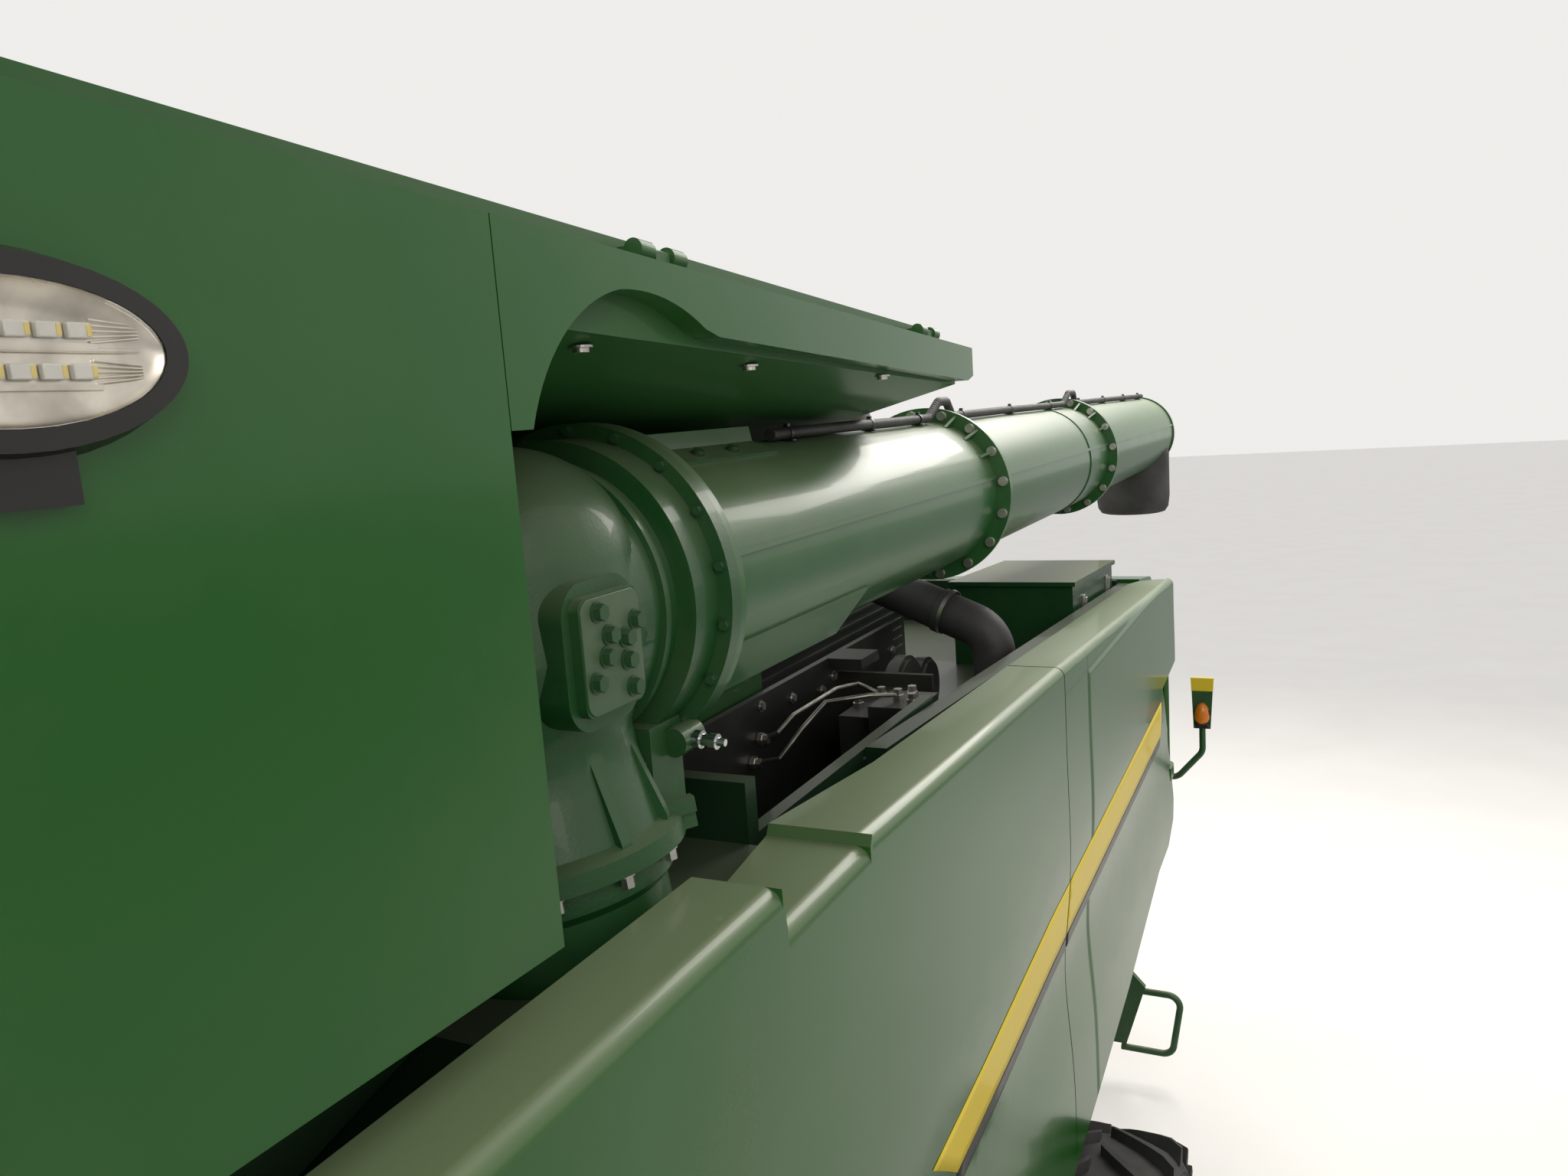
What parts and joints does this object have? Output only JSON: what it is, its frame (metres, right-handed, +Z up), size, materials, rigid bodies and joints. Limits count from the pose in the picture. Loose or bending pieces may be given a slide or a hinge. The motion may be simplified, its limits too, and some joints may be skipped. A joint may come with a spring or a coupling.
{
  "type": "combine harvester",
  "caption": "Self-propelled rotary combine harvester without its header, with a swinging unloading auger, lifting feeder house, steered rear axle and opening shields, lids and cab door.",
  "frame": {"origin": "on the ground under the middle of the machine's bounding box", "axes": "+Z up, the machine faces -Y, its left side with the unloading auger is +X"},
  "size_m": [4.3, 9.7, 3.9539],
  "materials": {
    "tyre": "matte",
    "wheel_yellow": "gloss",
    "green_paint": "gloss",
    "cast_green": "satin",
    "black_paint": "satin",
    "chrome_rod": "polished",
    "bare_steel": "brushed",
    "black_plastic": "matte",
    "lamp_black": "gloss",
    "black_rubber": "matte",
    "glass": "clear",
    "seat_fabric": "woven"
  },
  "bodies": {
    "chassis": {"chassis_frame": "green_paint", "front_axle": "green_paint", "rear_axle": "green_paint", "separator_body": "green_paint", "grain_tank": "green_paint", "tank_panel_left": "green_paint", "tank_panel_right": "green_paint", "tank_band_left": "green_paint", "tank_lamps": "lamp_black", "auger_base": "green_paint", "engine_deck": "black_paint", "engine_block": "cast_green", "engine_fittings": "black_paint", "air_box": "green_paint", "intake_hose": "black_rubber", "rear_hood": "green_paint", "chopper_housing": "green_paint", "rear_ladder": "green_paint", "marker_lamps": "green_paint", "cab_shell": "green_paint", "cab_glass": "glass", "cab_roof": "green_paint", "cab_seat": "seat_fabric", "steering_console": "black_plastic", "cab_subframe": "green_paint", "landing": "black_paint", "mirrors": "black_plastic"},
    "wheel_front_left": {"tyre_front_left": "tyre", "rim_front_left": "wheel_yellow"},
    "wheel_front_right": {"tyre_front_right": "tyre", "rim_front_right": "wheel_yellow"},
    "wheel_rear_left": {"tyre_rear_left": "tyre", "rim_rear_left": "wheel_yellow"},
    "wheel_rear_right": {"tyre_rear_right": "tyre", "rim_rear_right": "wheel_yellow"},
    "knuckle_left": {"knuckle_left": "green_paint"},
    "knuckle_right": {"knuckle_right": "green_paint"},
    "tie_rod": {"tie_rod": "chrome_rod"},
    "feeder": {"feeder_house": "green_paint"},
    "feeder_drum": {"feeder_drum": "bare_steel"},
    "lift_barrels": {"lift_barrels": "black_paint"},
    "lift_rods": {"lift_rods": "chrome_rod"},
    "unloading_auger": {"auger_elbow": "green_paint", "auger_tube": "green_paint", "auger_boot": "black_rubber", "auger_harness": "black_plastic"},
    "tank_lid_left": {"tank_lid_left": "black_plastic"},
    "tank_lid_right": {"tank_lid_right": "black_plastic"},
    "shield_front_left": {"shield_front_left": "green_paint"},
    "shield_front_right": {"shield_front_right": "green_paint"},
    "shield_rear_left": {"shield_rear_left": "green_paint"},
    "shield_rear_right": {"shield_rear_right": "green_paint"},
    "cab_door": {"cab_door": "black_plastic", "door_glass": "glass"},
    "ladder": {"ladder": "black_paint"},
    "spreader_disc_left": {"spreader_disc_left": "black_paint"},
    "spreader_disc_right": {"spreader_disc_right": "black_paint"}
  },
  "joints": [
    {"name": "roll_front_left", "type": "hinge", "parent": "chassis", "child": "wheel_front_left", "pos_m": [1.5, -2.4, 1.04], "axis": [1, 0, 0], "continuous": true},
    {"name": "roll_front_right", "type": "hinge", "parent": "chassis", "child": "wheel_front_right", "pos_m": [-1.5, -2.4, 1.04], "axis": [1, 0, 0], "continuous": true},
    {"name": "steer_left", "type": "hinge", "parent": "chassis", "child": "knuckle_left", "pos_m": [1.2, 0.8, 0.62], "axis": [0, 0, 1], "range_deg": [-35, 35]},
    {"name": "steer_right", "type": "hinge", "parent": "chassis", "child": "knuckle_right", "pos_m": [-1.2, 0.8, 0.62], "axis": [0, 0, 1], "range_deg": [-35, 35]},
    {"name": "roll_rear_left", "type": "hinge", "parent": "knuckle_left", "child": "wheel_rear_left", "pos_m": [1.6, 0.8, 0.62], "axis": [1, 0, 0], "continuous": true},
    {"name": "roll_rear_right", "type": "hinge", "parent": "knuckle_right", "child": "wheel_rear_right", "pos_m": [-1.6, 0.8, 0.62], "axis": [1, 0, 0], "continuous": true},
    {"name": "tie_rod_slide", "type": "slide", "parent": "chassis", "child": "tie_rod", "axis": [1, 0, 0], "range_m": [-0.1405, 0.1405]},
    {"name": "feeder_lift", "type": "hinge", "parent": "chassis", "child": "feeder", "pos_m": [0, -2.45, 1.8], "axis": [-1, 0, 0], "range_deg": [-10, 14]},
    {"name": "feeder_drum_spin", "type": "hinge", "parent": "feeder", "child": "feeder_drum", "pos_m": [0, -4.48, 0.92], "axis": [1, 0, 0], "continuous": true},
    {"name": "lift_barrels_pivot", "type": "hinge", "parent": "chassis", "child": "lift_barrels", "pos_m": [0, -2.65, 0.78], "axis": [-1, 0, 0], "range_deg": [-11.91, 16.67]},
    {"name": "lift_rods_slide", "type": "slide", "parent": "lift_barrels", "child": "lift_rods", "axis": [0, -0.9929, -0.1191], "range_m": [-0.17267, 0.24174]},
    {"name": "auger_swing", "type": "hinge", "parent": "chassis", "child": "unloading_auger", "pos_m": [1.159, -1.2, 3.356], "axis": [0.1392, 0, -0.9903], "range_deg": [0, 95]},
    {"name": "lid_left_hinge", "type": "hinge", "parent": "chassis", "child": "tank_lid_left", "pos_m": [1.432, -2.4, 3.937], "axis": [0, 0.9983, -0.0591], "range_deg": [0, 95]},
    {"name": "lid_right_hinge", "type": "hinge", "parent": "chassis", "child": "tank_lid_right", "pos_m": [-1.432, -2.4, 3.937], "axis": [0, -0.9983, 0.0591], "range_deg": [0, 95]},
    {"name": "shield_front_left_hinge", "type": "hinge", "parent": "chassis", "child": "shield_front_left", "pos_m": [1.535, -2.285, 2.5], "axis": [0, 0, -1], "range_deg": [0, 90]},
    {"name": "shield_front_right_hinge", "type": "hinge", "parent": "chassis", "child": "shield_front_right", "pos_m": [-1.535, -2.285, 2.5], "axis": [0, 0, 1], "range_deg": [0, 90]},
    {"name": "shield_rear_left_hinge", "type": "hinge", "parent": "chassis", "child": "shield_rear_left", "pos_m": [1.535, 3.075, 2.2], "axis": [0, 0, 1], "range_deg": [0, 90]},
    {"name": "shield_rear_right_hinge", "type": "hinge", "parent": "chassis", "child": "shield_rear_right", "pos_m": [-1.535, 3.075, 2.2], "axis": [0, 0, -1], "range_deg": [0, 90]},
    {"name": "cab_door_hinge", "type": "hinge", "parent": "chassis", "child": "cab_door", "pos_m": [0.896, -2.748, 2.8], "axis": [0, 0, 1], "range_deg": [0, 75]},
    {"name": "ladder_swing", "type": "hinge", "parent": "chassis", "child": "ladder", "pos_m": [1.48, -3.7, 2], "axis": [0, 0, -1], "range_deg": [0, 90]},
    {"name": "spreader_left_spin", "type": "hinge", "parent": "chassis", "child": "spreader_disc_left", "pos_m": [0.43, 3.35, 0.95], "axis": [0, 0, 1], "continuous": true},
    {"name": "spreader_right_spin", "type": "hinge", "parent": "chassis", "child": "spreader_disc_right", "pos_m": [-0.43, 3.35, 0.95], "axis": [0, 0, 1], "continuous": true}
  ],
  "couplings": [
    {"joint": "steer_right", "follows": "steer_left", "ratio": 1},
    {"joint": "tie_rod_slide", "follows": "steer_left", "m_per_rad": -0.23},
    {"joint": "lift_barrels_pivot", "follows": "feeder_lift", "ratio": 1.1905},
    {"joint": "lift_rods_slide", "follows": "feeder_lift", "m_per_rad": 0.98933}
  ]
}
